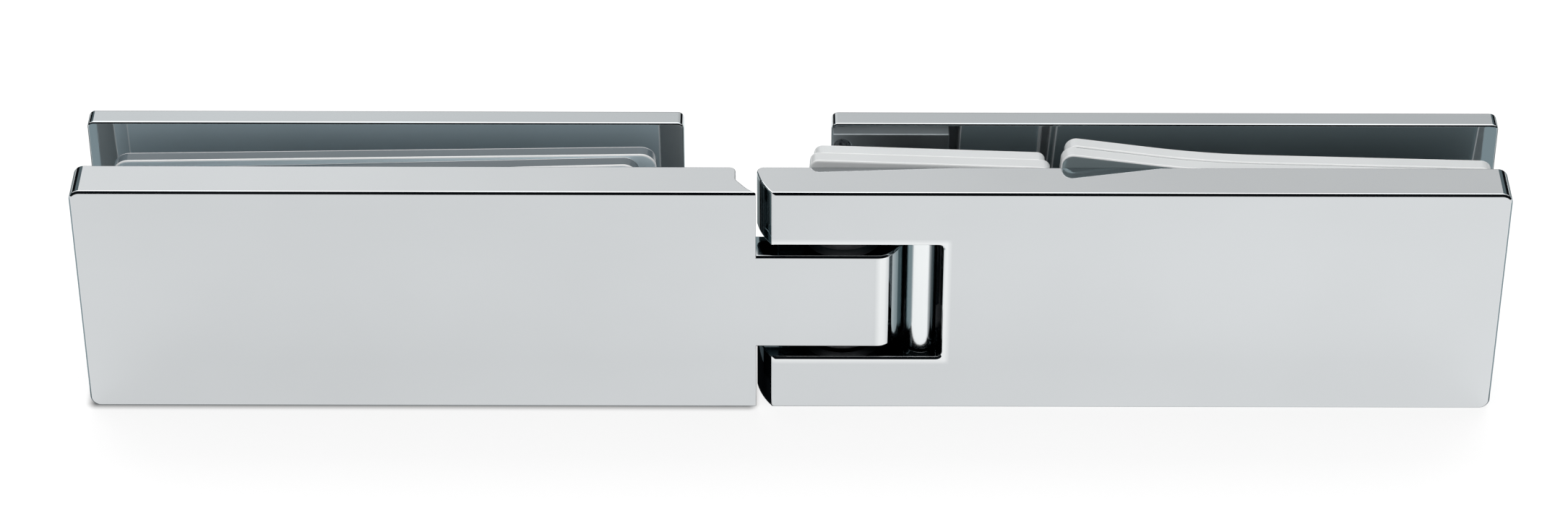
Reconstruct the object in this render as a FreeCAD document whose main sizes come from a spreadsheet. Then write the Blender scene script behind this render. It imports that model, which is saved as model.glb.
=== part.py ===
import FreeCAD, Part
import math
import os
import Sketcher

# Glass door hinge: two leaves in line, each clamping one pane of glass.
# The pivot axis is vertical. X runs along the hinge, +Y points away from the front faces,
# +Z is up. The origin is on the resting surface, under the middle of the hinge.

document = FreeCAD.newDocument("glass_door_hinge")
sheet = document.addObject("Spreadsheet::Sheet", "dims")

SIZES = [
    ("plate_height", 50.0, "height of the four clamp plates"),
    ("front_thickness", 8.5, "thickness of the front plates"),
    ("clamp_gap", 14.0, "gap between front and back plate: glass and inlays"),
    ("back_thickness", 4.2, "thickness of the back plates"),
    ("pivot_setback", 9.7, "pivot axis behind the front faces"),
    ("fixed_reach", 143.0, "pivot axis to the outer end of the fixed leaf"),
    ("door_reach", 123.2, "pivot axis to the outer end of the door leaf"),
    ("lip_offset", 16.0, "pivot axis to the front edge of the fixed leaf's inner end"),
    ("recess_offset", 20.1, "pivot axis to the hollowed inner end of the fixed leaf"),
    ("recess_slope", 4.6, "depth of the slope from the front edge to the hollow"),
    ("recess_dish", 0.55, "how far the slope is dished at its middle"),
    ("recess_round", 1.2, "rounding of the hollow's corners"),
    ("dish_round", 8.0, "rounding of the dished slope"),
    ("corner_round", 2.0, "rounding of the front plates' outer corners"),
    ("edge_bevel", 0.4, "bevel of the polished front edges"),
    ("knuckle_height", 21.2, "height of tongue and knuckle"),
    ("knuckle_radius", 12.3, "radius of the knuckle about the pivot"),
    ("root_overlap", 1.5, "how deep the knuckle's neck and the lugs root in their plates"),
    ("neck_back", 3.2, "rear face of the tongue in front of the pivot axis"),
    ("nose_round", 3.0, "rounding where the flat tongue turns into the knuckle"),
    ("prong_radius", 16.35, "radius of the door leaf's inner end about the pivot"),
    ("prong_round", 1.3, "rounding of the prongs' rear corner"),
    ("notch_reach", 18.6, "pivot axis to the closed end of the notch"),
    ("notch_height", 26.0, "height of the notch"),
    ("notch_round", 1.0, "rounding of the notch corners"),
    ("lug_radius", 15.8, "radius of the lugs about the pivot"),
    ("lug_height", 5.5, "height of each lug above or below the notch"),
    ("lug_back", 6.8, "rear face of the lugs behind the pivot axis"),
    ("web_thickness", 1.6, "web that joins the lugs beyond the notch"),
    ("fixed_back_outer", 142.2, "pivot axis to the outer end of the fixed back plate"),
    ("fixed_back_inner", 30.0, "pivot axis to the inner end of the fixed back plate"),
    ("door_back_inner", 2.2, "inner end of the door back plate, left of the pivot axis"),
    ("back_corner_round", 1.2, "rounding of the back plates' corners"),
    ("inlay_thickness", 3.0, "thickness of one inlay sheet"),
    ("inlay_height", 45.0, "height of the inlay sheets"),
    ("fixed_inlay_round", 3.0, "rounding of the fixed inlays' corners"),
    ("short_inlay_round", 1.6, "rounding of the short door inlays' corners"),
    ("long_inlay_round", 2.2, "rounding of the long door inlays' corners"),
    ("sheet_slip", 0.8, "how far the rear sheet of a door stack lies off the front one"),
    ("fixed_inlay_outer", 135.9, "pivot axis to the outer end of the fixed rear inlay"),
    ("fixed_inlay_inner", 34.5, "pivot axis to the inner end of the fixed rear inlay"),
    ("fixed_front_shift", 2.9, "how far the fixed front inlay lies further out"),
    ("fixed_front_tilt", 1.7, "tilt of the fixed front inlay, in degrees"),
    ("fixed_front_drop", 1.1, "how far the fixed front inlay sits below the plates"),
    ("fixed_rear_tilt", 1.0, "tilt of the fixed rear inlay, in degrees"),
    ("fixed_rear_drop", 0.35, "how far the fixed rear inlay sits below the plates"),
    ("inner_inlay_start", 7.2, "left end of the short door inlay, left of the pivot axis"),
    ("inner_inlay_end", 37.5, "right end of the short door inlay"),
    ("inner_inlay_raise", 0.1, "height of the short door inlay above the plates at its screw"),
    ("inner_inlay_tilt", 2.1, "tilt of the short door inlay on its screw, in degrees"),
    ("outer_inlay_start", 38.7, "left end of the long door inlay"),
    ("outer_inlay_end", 120.5, "right end of the long door inlay"),
    ("outer_inlay_raise", 0.3, "height of the long door inlay above the plates at its screw"),
    ("outer_inlay_tilt", 3.7, "tilt of the long door inlay on its screw, in degrees"),
    ("outer_inlay_bend", 15.0, "the long door inlay's screw to the bend of its upper edge"),
    ("outer_inlay_sag", 2.0, "how far the long door inlay's upper edge sags at the bend"),
    ("outer_inlay_curve", 180.0, "radius of the bend in the long door inlay's upper edge"),
    ("lug_clearance", 1.5, "gap between the short inlay and the lugs"),
    ("fixed_screw_outer", 112.0, "pivot axis to the fixed leaf's outer screw"),
    ("fixed_screw_inner", 58.0, "pivot axis to the fixed leaf's inner screw"),
    ("door_screw_inner", 29.4, "pivot axis to the door leaf's inner screw"),
    ("door_screw_outer", 80.9, "pivot axis to the door leaf's outer screw"),
    ("screw_radius", 3.0, "clamp screw shank"),
    ("screw_head_height", 2.6, "clamp screw countersunk head"),
    ("screw_length", 23.6, "clamp screw length with head"),
    ("tapped_depth", 6.2, "depth of the tapped holes in the front plates"),
    ("screw_clearance", 0.05, "radial clearance of screws in their holes"),
    ("hex_socket", 2.0, "apothem of the clamp screw's hexagon socket"),
    ("hex_depth", 2.2, "depth of the clamp screw's hexagon socket"),
    ("sleeve_radius", 4.2, "outside of the screw sleeves"),
    ("sleeve_clearance", 1.1, "radial clearance of sleeves in the loose inlays"),
    ("pin_radius", 4.0, "pivot pin"),
    ("pin_half_length", 18.3, "half the length of the pivot pin"),
    ("press_clearance", 0.01, "radial clearance of pressed parts"),
    ("running_clearance", 0.05, "radial clearance of turning parts"),
    ("bush_radius", 5.6, "outside of the knuckle bushes"),
    ("bush_length", 9.0, "bush length in the knuckle"),
    ("flange_radius", 7.5, "bush flange"),
    ("flange_thickness", 1.9, "bush flange thickness"),
    ("grub_radius", 1.5, "grub screw"),
    ("grub_length", 2.6, "grub screw length"),
    ("grub_socket", 0.75, "apothem of the grub screw's hexagon socket"),
    ("grub_socket_depth", 1.2, "depth of the grub screw's hexagon socket"),
    ("roller_offset", 14.7, "pivot axis to the roller axis along the hinge"),
    ("roller_depth", 5.1, "roller axis behind the front faces"),
    ("roller_radius", 2.9, "guard roller"),
    ("roller_end_gap", 0.3, "gap between the roller and the notch, each end"),
    ("axle_radius", 1.25, "roller axle"),
    ("axle_end_gap", 0.1, "gap beyond each end of the axle in its seat"),
    ("axle_seat", 3.0, "depth of the axle in each prong"),
]

for row, (alias, number, note) in enumerate(SIZES, start=1):
    sheet.set("A%d" % row, str(number))
    sheet.setAlias("A%d" % row, alias)
    sheet.set("B%d" % row, note)
document.recompute()


class Size:
    """A length with its present value and the spreadsheet formula it follows."""

    def __init__(self, value, formula):
        self.value = float(value)
        self.formula = formula

    @staticmethod
    def of(other):
        """Turn a plain number into a Size, and pass a Size through."""
        if isinstance(other, Size):
            return other
        return Size(other, "%.6f" % other)

    def __add__(self, other):
        other = Size.of(other)
        return Size(self.value + other.value, "(%s + %s)" % (self.formula, other.formula))

    def __sub__(self, other):
        other = Size.of(other)
        return Size(self.value - other.value, "(%s - %s)" % (self.formula, other.formula))

    def __mul__(self, other):
        other = Size.of(other)
        return Size(self.value * other.value, "(%s * %s)" % (self.formula, other.formula))

    def __truediv__(self, other):
        other = Size.of(other)
        return Size(self.value / other.value, "(%s / %s)" % (self.formula, other.formula))

    def __neg__(self):
        return Size(-self.value, "(0 - %s)" % self.formula)

    def root(self):
        """The square root of this size."""
        return Size(math.sqrt(self.value), "sqrt(%s)" % self.formula)


def size(alias):
    """The Size of one spreadsheet cell."""
    return Size(sheet.get(alias), "dims." + alias)


def chord(radius, offset):
    """Half the chord of a circle at a given offset from its centre."""
    return (radius * radius - offset * offset).root()


# Distances shared by several pieces, measured from the pivot axis at mid height.
# THROUGH is how far a cut starts and ends outside the piece it goes through.
ZERO = Size(0.0, "0")
THROUGH = Size(2.0, "2")
half_height = size("plate_height") / 2
front_y = -size("pivot_setback")
gap_front_y = size("front_thickness") - size("pivot_setback")
gap_back_y = gap_front_y + size("clamp_gap")
back_y = gap_back_y + size("back_thickness")
knuckle_half = size("knuckle_height") / 2
notch_half = size("notch_height") / 2
lug_top = notch_half + size("lug_height")
pivot_x = (size("fixed_reach") - size("door_reach")) / 2
pivot_y = -(back_y + front_y) / 2


def place(thing, x, y, z):
    """Bind a sub-part's position, given from the pivot axis at mid height."""
    thing.setExpression("Placement.Base.x", (pivot_x + x).formula)
    thing.setExpression("Placement.Base.y", (pivot_y + y).formula)
    thing.setExpression("Placement.Base.z", (half_height + z).formula)


def new_body(label, x=ZERO, y=ZERO, z=ZERO, rotation=None):
    """Start a body at a place given from the pivot axis at mid height."""
    body = document.addObject("PartDesign::Body", label)
    body.Label = label
    if rotation is not None:
        body.Placement = FreeCAD.Placement(FreeCAD.Vector(0, 0, 0), rotation)
    place(body, x, y, z)
    return body


def new_sketch(body, name, plane, offset=None):
    """Start a sketch on one of the body's own origin planes."""
    sketch = body.newObject("Sketcher::SketchObject", name)
    support = [item for item in body.Origin.OriginFeatures if item.Role == plane][0]
    sketch.AttachmentSupport = [(support, "")]
    sketch.MapMode = "FlatFace"
    if offset is not None:
        sketch.setExpression("AttachmentOffset.Base.z", offset.formula)
    return sketch


def bind(sketch, constraint, name, formula):
    """Add one driving dimension and tie it to the spreadsheet."""
    index = sketch.addConstraint(constraint)
    sketch.renameConstraint(index, name)
    sketch.setExpression("Constraints." + name, formula)


def fix_point(sketch, item, end, x, y, which, name):
    """Dimension one sketch point from the sketch origin, in x, in y or in both."""
    if "x" in which:
        if abs(x.value) < 1e-9:
            sketch.addConstraint(Sketcher.Constraint("PointOnObject", item, end, -2))
        else:
            bind(sketch, Sketcher.Constraint("DistanceX", -1, 1, item, end, x.value), name + "x", x.formula)
    if "y" in which:
        if abs(y.value) < 1e-9:
            sketch.addConstraint(Sketcher.Constraint("PointOnObject", item, end, -1))
        else:
            bind(sketch, Sketcher.Constraint("DistanceY", -1, 1, item, end, y.value), name + "y", y.formula)


def add_outline(sketch, corners, arcs=None):
    """Draw a closed outline.

    corners lists (x, y, which), where which names the dimensioned directions.
    arcs maps a side's number to (radius, clockwise) for an arc about the sketch origin.
    """
    arcs = arcs or {}
    count = len(corners)
    ends = []
    for side in range(count):
        x1, y1, _ = corners[side]
        x2, y2, _ = corners[(side + 1) % count]
        if side in arcs:
            radius, clockwise = arcs[side]
            first = math.atan2(y1.value, x1.value)
            last = math.atan2(y2.value, x2.value)
            if clockwise:
                first, last = last, first
            if last < first:
                last += 2 * math.pi
            circle = Part.Circle(FreeCAD.Vector(0, 0, 0), FreeCAD.Vector(0, 0, 1), radius.value)
            item = sketch.addGeometry(Part.ArcOfCircle(circle, first, last), False)
            ends.append((item, 2, 1) if clockwise else (item, 1, 2))
            sketch.addConstraint(Sketcher.Constraint("Coincident", item, 3, -1, 1))
            bind(sketch, Sketcher.Constraint("Radius", item, radius.value), "arc%d" % side, radius.formula)
        else:
            start = FreeCAD.Vector(x1.value, y1.value, 0)
            stop = FreeCAD.Vector(x2.value, y2.value, 0)
            item = sketch.addGeometry(Part.LineSegment(start, stop), False)
            ends.append((item, 1, 2))
    for side in range(count):
        item, _, stop = ends[side]
        following, start, _ = ends[(side + 1) % count]
        sketch.addConstraint(Sketcher.Constraint("Coincident", item, stop, following, start))
    for side in range(count):
        x, y, which = corners[side]
        item, start, _ = ends[side]
        fix_point(sketch, item, start, x, y, which, "corner%d" % side)


def add_rectangle(sketch, left, right, low, high):
    """Draw a rectangle between two x and two y positions."""
    add_outline(sketch, [(left, low, "xy"), (right, low, "xy"), (right, high, "xy"), (left, high, "xy")])


def add_circle(sketch, x, y, radius, name):
    """Draw a dimensioned circle."""
    centre = FreeCAD.Vector(x.value, y.value, 0)
    item = sketch.addGeometry(Part.Circle(centre, FreeCAD.Vector(0, 0, 1), radius.value), False)
    fix_point(sketch, item, 3, x, y, "xy", name)
    bind(sketch, Sketcher.Constraint("Radius", item, radius.value), name + "r", radius.formula)


def extrude(body, kind, sketch, name, length, symmetric=False, backwards=False):
    """Pad or pocket a sketch, and make sure that it adds or removes material."""
    document.recompute()
    before = body.Shape.Volume if body.Tip is not None and body.Tip != sketch else 0.0
    feature = body.newObject("PartDesign::" + kind, name)
    feature.Profile = sketch
    feature.setExpression("Length", length.formula)
    feature.Length = length.value
    if symmetric:
        feature.SideType = "Symmetric"
    feature.Reversed = backwards
    document.recompute()
    after = body.Shape.Volume
    if (kind == "Pocket") != (after < before - 1e-6) or abs(after - before) < 1e-6:
        raise RuntimeError("%s of %s does nothing: %.3f to %.3f" % (name, body.Label, before, after))
    return feature


def dress(body, kind, name, amount, chosen):
    """Fillet or chamfer the edges of the body that the test picks."""
    document.recompute()
    base = body.Tip
    names = ["Edge%d" % (n + 1) for n, edge in enumerate(base.Shape.Edges) if chosen(edge)]
    if not names:
        raise RuntimeError("%s of %s finds no edge" % (name, body.Label))
    feature = body.newObject("PartDesign::" + kind, name)
    feature.Base = (base, names)
    if kind == "Fillet":
        feature.setExpression("Radius", amount.formula)
    else:
        feature.setExpression("Size", amount.formula)
    document.recompute()
    return feature


def near(value, target):
    """Whether a coordinate is the one looked for."""
    return abs(value - target) < 1e-4


def runs_along(edge, axis):
    """Whether a straight edge runs along X, Y or Z."""
    box = edge.BoundBox
    spans = {"X": box.XLength, "Y": box.YLength, "Z": box.ZLength}
    others = [spans[name] for name in "XYZ" if name != axis]
    return spans[axis] > 1e-3 and max(others) < 1e-4


def in_plane_y(edge, y):
    """Whether an edge lies in the plane at one depth."""
    return near(edge.BoundBox.YMin, y) and near(edge.BoundBox.YMax, y)


def tapped_holes(body, positions):
    """Sink blind holes for the clamp screws into the rear of a front plate."""
    sketch = new_sketch(body, "screw_hole_sketch", "XZ_Plane", -gap_front_y)
    hole = size("screw_radius") + size("screw_clearance")
    for number, x in enumerate(positions):
        add_circle(sketch, x, ZERO, hole, "hole%d" % number)
    extrude(body, "Pocket", sketch, "screw_holes", size("tapped_depth"), backwards=True)


# Fixed leaf: front plate, tongue and knuckle in one casting.
fixed_leaf = new_body("fixed_knuckle_leaf")
dish_y = front_y + size("recess_slope") / 2 - size("recess_dish")
plan = new_sketch(fixed_leaf, "fixed_plan", "XY_Plane")
add_outline(plan, [
    (-size("fixed_reach"), front_y, "xy"),
    (-size("lip_offset"), front_y, "xy"),
    (-(size("lip_offset") + size("recess_offset")) / 2, dish_y, "xy"),
    (-size("recess_offset"), front_y + size("recess_slope"), "xy"),
    (-size("recess_offset"), gap_front_y, "xy"),
    (-size("fixed_reach"), gap_front_y, "xy"),
])
extrude(fixed_leaf, "Pad", plan, "fixed_plate", size("plate_height"), symmetric=True)
dress(fixed_leaf, "Fillet", "fixed_corners", size("corner_round"),
      lambda edge: runs_along(edge, "Y") and near(edge.BoundBox.XMin, -size("fixed_reach").value))
dress(fixed_leaf, "Fillet", "hollow_corners", size("recess_round"),
      lambda edge: runs_along(edge, "Z") and near(edge.BoundBox.XMin, -size("recess_offset").value))
dress(fixed_leaf, "Fillet", "dished_slope", size("dish_round"),
      lambda edge: runs_along(edge, "Z") and near(edge.BoundBox.YMin, dish_y.value))

plan = new_sketch(fixed_leaf, "knuckle_plan", "XY_Plane")
root_x = -(size("recess_offset") + size("root_overlap"))
add_outline(plan, [
    (root_x, front_y, "xy"),
    (chord(size("knuckle_radius"), size("pivot_setback")), front_y, "y"),
    (-chord(size("knuckle_radius"), size("neck_back")), -size("neck_back"), "y"),
    (root_x, -size("neck_back"), "xy"),
], {1: (size("knuckle_radius"), False)})
extrude(fixed_leaf, "Pad", plan, "knuckle", size("knuckle_height"), symmetric=True)
nose_x = chord(size("knuckle_radius"), size("pivot_setback"))
dress(fixed_leaf, "Fillet", "nose", size("nose_round"),
      lambda edge: runs_along(edge, "Z") and near(edge.BoundBox.XMin, nose_x.value)
      and near(edge.BoundBox.YMin, front_y.value))

sketch = new_sketch(fixed_leaf, "bush_bore_sketch", "XY_Plane")
add_circle(sketch, ZERO, ZERO, size("bush_radius") + size("press_clearance"), "bore")
extrude(fixed_leaf, "Pocket", sketch, "bush_bore", size("knuckle_height") + THROUGH, symmetric=True)
tapped_holes(fixed_leaf, [-size("fixed_screw_outer"), -size("fixed_screw_inner")])
dress(fixed_leaf, "Chamfer", "fixed_edges", size("edge_bevel"),
      lambda edge: in_plane_y(edge, front_y.value))

# Door leaf: front plate with the notch, and the lugs behind its prongs.
door_leaf = new_body("door_notched_leaf")
plan = new_sketch(door_leaf, "door_plan", "XY_Plane")
add_outline(plan, [
    (-chord(size("prong_radius"), size("pivot_setback")), front_y, "y"),
    (size("door_reach"), front_y, "xy"),
    (size("door_reach"), gap_front_y, "xy"),
    (-chord(size("prong_radius"), gap_front_y), gap_front_y, "y"),
], {3: (size("prong_radius"), False)})
extrude(door_leaf, "Pad", plan, "door_plate", size("plate_height"), symmetric=True)
dress(door_leaf, "Fillet", "door_corners", size("corner_round"),
      lambda edge: runs_along(edge, "Y") and near(edge.BoundBox.XMin, size("door_reach").value))
dress(door_leaf, "Fillet", "prong_corner", size("prong_round"),
      lambda edge: runs_along(edge, "Z") and edge.BoundBox.XMin < 0
      and near(edge.BoundBox.YMin, gap_front_y.value))

plan = new_sketch(door_leaf, "lug_plan", "XY_Plane")
lug_front = gap_front_y - size("root_overlap")
web_x = size("notch_reach") + size("web_thickness")
add_outline(plan, [
    (-chord(size("lug_radius"), lug_front), lug_front, "y"),
    (web_x, lug_front, "xy"),
    (web_x, size("lug_back"), "xy"),
    (-chord(size("lug_radius"), size("lug_back")), size("lug_back"), "y"),
], {3: (size("lug_radius"), False)})
extrude(door_leaf, "Pad", plan, "lugs", lug_top * 2, symmetric=True)

sketch = new_sketch(door_leaf, "notch_sketch", "XZ_Plane")
add_rectangle(sketch, -(size("prong_radius") + THROUGH), size("notch_reach"), -notch_half, notch_half)
extrude(door_leaf, "Pocket", sketch, "notch", (size("prong_radius") + THROUGH) * 2, symmetric=True)
dress(door_leaf, "Fillet", "notch_corners", size("notch_round"),
      lambda edge: runs_along(edge, "Y") and near(edge.BoundBox.XMin, size("notch_reach").value))

sketch = new_sketch(door_leaf, "pin_bore_sketch", "XY_Plane", -(half_height + THROUGH))
add_circle(sketch, ZERO, ZERO, size("pin_radius") + size("press_clearance"), "bore")
extrude(door_leaf, "Pocket", sketch, "pin_bore", half_height + THROUGH + lug_top, backwards=True)

roller_y = size("roller_depth") - size("pivot_setback")
sketch = new_sketch(door_leaf, "axle_hole_sketch", "XY_Plane")
add_circle(sketch, size("roller_offset"), roller_y, size("axle_radius") + size("press_clearance"), "axle")
extrude(door_leaf, "Pocket", sketch, "axle_holes", (notch_half + size("axle_seat")) * 2, symmetric=True)

grub_z = notch_half + size("lug_height") / 2
sketch = new_sketch(door_leaf, "grub_hole_sketch", "XZ_Plane", -size("lug_back"))
add_circle(sketch, ZERO, grub_z, size("grub_radius") + size("screw_clearance"), "upper")
add_circle(sketch, ZERO, -grub_z, size("grub_radius") + size("screw_clearance"), "lower")
extrude(door_leaf, "Pocket", sketch, "grub_holes", size("lug_back") - size("pin_radius") / 2, backwards=True)
tapped_holes(door_leaf, [size("door_screw_inner"), size("door_screw_outer")])
dress(door_leaf, "Chamfer", "door_edges", size("edge_bevel"),
      lambda edge: in_plane_y(edge, front_y.value))


def make_back_plate(label, left, right, screws):
    """Make a back clamp plate with countersunk screw holes."""
    body = new_body(label)
    outline = new_sketch(body, label + "_outline", "XZ_Plane", -gap_back_y)
    add_rectangle(outline, left, right, -half_height, half_height)
    extrude(body, "Pad", outline, label + "_plate", size("back_thickness"), backwards=True)
    dress(body, "Fillet", label + "_corners", size("back_corner_round"),
          lambda edge: runs_along(edge, "Y"))
    shank = new_sketch(body, label + "_shank_sketch", "XZ_Plane", -back_y)
    hole = size("screw_radius") + size("screw_clearance")
    for number, x in enumerate(screws):
        add_circle(shank, x, ZERO, hole, "hole%d" % number)
    extrude(body, "Pocket", shank, label + "_holes", size("back_thickness") + THROUGH, backwards=True)
    sink = size("screw_head_height")
    dress(body, "Chamfer", label + "_countersinks", sink,
          lambda edge: in_plane_y(edge, back_y.value) and edge.Curve.TypeId == "Part::GeomCircle"
          and near(edge.Curve.Radius, hole.value))
    return body


fixed_back = make_back_plate(
    "fixed_back_plate", -size("fixed_back_outer"), -size("fixed_back_inner"),
    [-size("fixed_screw_outer"), -size("fixed_screw_inner")])
door_back = make_back_plate(
    "door_back_plate", -size("door_back_inner"), size("door_reach"),
    [size("door_screw_inner"), size("door_screw_outer")])


def make_inlay(label, layer, centre, tilt, outline, rounding, screws):
    """Make one clear inlay sheet.

    centre is where the stack turns, and the outline and screws are taken from there.
    outline lists (x, z) corners. Those on the sheet's own left and right ends are rounded,
    except where a cut-out starts, and a corner on the way along the upper edge is a bend.
    """
    front = gap_front_y + size("inlay_thickness") * layer
    rotation = FreeCAD.Rotation(FreeCAD.Vector(0, 1, 0), tilt.value)
    body = new_body(label, centre, front, ZERO, rotation)
    body.setExpression("Placement.Rotation.Angle", tilt.formula)
    drawing = new_sketch(body, label + "_outline", "XZ_Plane")
    add_outline(drawing, [(x, z, "xy") for x, z, _ in outline])
    extrude(body, "Pad", drawing, label + "_sheet", size("inlay_thickness"), backwards=True)
    for kind, amount in (("corner", rounding), ("bend", size("outer_inlay_curve"))):
        spots = [(x.value, z.value) for x, z, use in outline if use == kind]
        if spots:
            dress(body, "Fillet", label + "_" + kind, amount, lambda edge: at_spot(edge, spots))
    holes = new_sketch(body, label + "_hole_sketch", "XZ_Plane")
    for number, x in enumerate(screws):
        add_circle(holes, x, ZERO, size("sleeve_radius") + size("sleeve_clearance"), "hole%d" % number)
    extrude(body, "Pocket", holes, label + "_holes", (size("inlay_thickness") + THROUGH) * 2, symmetric=True)
    return body


def at_spot(edge, spots):
    """Whether an edge along Y stands at one of the outline's corners."""
    if not runs_along(edge, "Y"):
        return False
    return any(near(edge.BoundBox.XMin, x) and near(edge.BoundBox.ZMin, z) for x, z in spots)


def plain_outline(left, right, top):
    """The four corners of a plain inlay sheet."""
    low = top - size("inlay_height")
    return [(left, low, "corner"), (right, low, "corner"), (right, top, "corner"), (left, top, "corner")]


def short_outline(left, right, top):
    """The corners of a short door sheet, cut away round the lugs."""
    low = top - size("inlay_height")
    inner = web_x + size("lug_clearance") - size("door_screw_inner")
    shelf = lug_top + size("lug_clearance")
    return [
        (inner, low, "corner"), (right, low, "corner"), (right, top, "corner"),
        (left, top, "corner"), (left, shelf, ""), (inner, shelf, ""),
    ]


def long_outline(left, right, top):
    """The corners of a long door sheet, whose upper edge is bent."""
    low = top - size("inlay_height")
    return [
        (left, low, "corner"), (right, low, "corner"), (right, top, "corner"),
        (-size("outer_inlay_bend"), top - size("outer_inlay_sag"), "bend"), (left, top, "corner"),
    ]


screw_middle = (size("fixed_screw_outer") + size("fixed_screw_inner")) / 2
screw_spread = (size("fixed_screw_outer") - size("fixed_screw_inner")) / 2
fixed_left = screw_middle - size("fixed_inlay_outer")
fixed_right = screw_middle - size("fixed_inlay_inner")
inner_centre = size("door_screw_inner")
outer_centre = size("door_screw_outer")
fixed_sheets = (
    ("front", size("fixed_front_tilt"), size("fixed_front_drop"), size("fixed_front_shift")),
    ("rear", size("fixed_rear_tilt"), size("fixed_rear_drop"), ZERO),
)
inlays = []
for layer, (name, tilt, drop, shift) in enumerate(fixed_sheets):
    inlays.append(make_inlay(
        "fixed_inlay_" + name, layer, -screw_middle, -tilt,
        plain_outline(fixed_left - shift, fixed_right - shift, half_height - drop),
        size("fixed_inlay_round"), [-screw_spread, screw_spread]))
for layer, name in enumerate(("front", "rear")):
    slip = size("sheet_slip") * layer
    inlays.append(make_inlay(
        "door_inlay_inner_" + name, layer, inner_centre, size("inner_inlay_tilt"),
        short_outline(
            slip - size("inner_inlay_start") - inner_centre, size("inner_inlay_end") - inner_centre - slip,
            half_height + size("inner_inlay_raise") - slip / 2),
        size("short_inlay_round"), [ZERO]))
    inlays.append(make_inlay(
        "door_inlay_outer_" + name, layer, outer_centre, size("outer_inlay_tilt"),
        long_outline(
            size("outer_inlay_start") - outer_centre + slip, size("outer_inlay_end") - outer_centre - slip,
            half_height + size("outer_inlay_raise")),
        size("long_inlay_round"), [ZERO]))

ALONG_DEPTH = FreeCAD.Rotation(FreeCAD.Vector(1, 0, 0), -90)


def add_hexagon(sketch, apothem):
    """Draw a dimensioned hexagon about the sketch origin, flat sides left and right."""
    rise = apothem / 3 ** 0.5
    add_outline(sketch, [
        (apothem, -rise, "xy"), (apothem, rise, "xy"), (ZERO, rise * 2, "xy"),
        (-apothem, rise, "xy"), (-apothem, -rise, "xy"), (ZERO, -(rise * 2), "xy"),
    ])


def revolve(body, sketch, name):
    """Turn a half section about the sketch's vertical axis."""
    feature = body.newObject("PartDesign::Revolution", name)
    feature.Profile = sketch
    feature.ReferenceAxis = (sketch, ["V_Axis"])
    feature.Angle = 360
    document.recompute()
    return feature


def make_clamp_screw(label, x):
    """Make a countersunk socket screw that points from the back plate to the front."""
    body = new_body(label, x, back_y, ZERO, ALONG_DEPTH)
    section = new_sketch(body, label + "_section", "XZ_Plane")
    shank = size("screw_radius")
    head = size("screw_radius") + size("screw_head_height")
    drop = size("screw_clearance")
    add_outline(section, [
        (ZERO, -drop, "xy"), (head, -drop, "xy"), (shank, -(size("screw_head_height") + drop), "xy"),
        (shank, -size("screw_length"), "xy"), (ZERO, -size("screw_length"), "xy"),
    ])
    revolve(body, section, label + "_turned")
    socket = new_sketch(body, label + "_socket_sketch", "XY_Plane")
    add_hexagon(socket, size("hex_socket"))
    extrude(body, "Pocket", socket, label + "_socket", size("hex_depth"))
    return body


def make_sleeve(label, x):
    """Make the plastic sleeve that keeps a clamp screw off the glass."""
    outer = document.addObject("Part::Cylinder", label + "_outside")
    outer.setExpression("Radius", "dims.sleeve_radius")
    outer.setExpression("Height", "dims.clamp_gap")
    inner = document.addObject("Part::Cylinder", label + "_bore")
    inner.setExpression("Radius", "dims.screw_radius + dims.screw_clearance")
    inner.setExpression("Height", (size("clamp_gap") + THROUGH * 2).formula)
    inner.Placement.Base = FreeCAD.Vector(0, 0, -THROUGH.value)
    sleeve = document.addObject("Part::Cut", label)
    sleeve.Base = outer
    sleeve.Tool = inner
    sleeve.Label = label
    sleeve.Placement = FreeCAD.Placement(FreeCAD.Vector(0, 0, 0), ALONG_DEPTH)
    place(sleeve, x, gap_front_y, ZERO)
    return sleeve


screw_places = [
    ("fixed", "outer", -size("fixed_screw_outer")),
    ("fixed", "inner", -size("fixed_screw_inner")),
    ("door", "inner", size("door_screw_inner")),
    ("door", "outer", size("door_screw_outer")),
]
fasteners = []
for side, end, x in screw_places:
    fasteners.append(make_clamp_screw("%s_clamp_screw_%s" % (side, end), x))
    fasteners.append(make_sleeve("%s_screw_sleeve_%s" % (side, end), x))


def make_bush(label, upward):
    """Make a flanged bush that sits in one end of the knuckle's bore."""
    rotation = FreeCAD.Rotation(FreeCAD.Vector(1, 0, 0), 0 if upward else 180)
    body = new_body(label, ZERO, ZERO, knuckle_half if upward else -knuckle_half, rotation)
    section = new_sketch(body, label + "_section", "XZ_Plane")
    bore = size("pin_radius") + size("running_clearance")
    add_outline(section, [
        (bore, -size("bush_length"), "xy"), (size("bush_radius"), -size("bush_length"), "xy"),
        (size("bush_radius"), ZERO, "xy"), (size("flange_radius"), ZERO, "xy"),
        (size("flange_radius"), size("flange_thickness"), "xy"), (bore, size("flange_thickness"), "xy"),
    ])
    revolve(body, section, label + "_turned")
    return body


bushes = [make_bush("knuckle_bush_upper", True), make_bush("knuckle_bush_lower", False)]


def make_grub_screw(label, z):
    """Make a grub screw that presses on the pivot pin from behind."""
    body = new_body(label, ZERO, size("pin_radius"), z, ALONG_DEPTH)
    end = new_sketch(body, label + "_end", "XY_Plane")
    add_circle(end, ZERO, ZERO, size("grub_radius"), "rod")
    extrude(body, "Pad", end, label + "_rod", size("grub_length"))
    socket = new_sketch(body, label + "_socket_sketch", "XY_Plane", size("grub_length"))
    add_hexagon(socket, size("grub_socket"))
    extrude(body, "Pocket", socket, label + "_socket", size("grub_socket_depth"))
    return body


grub_screws = [make_grub_screw("pin_grub_screw_upper", grub_z), make_grub_screw("pin_grub_screw_lower", -grub_z)]

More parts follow.
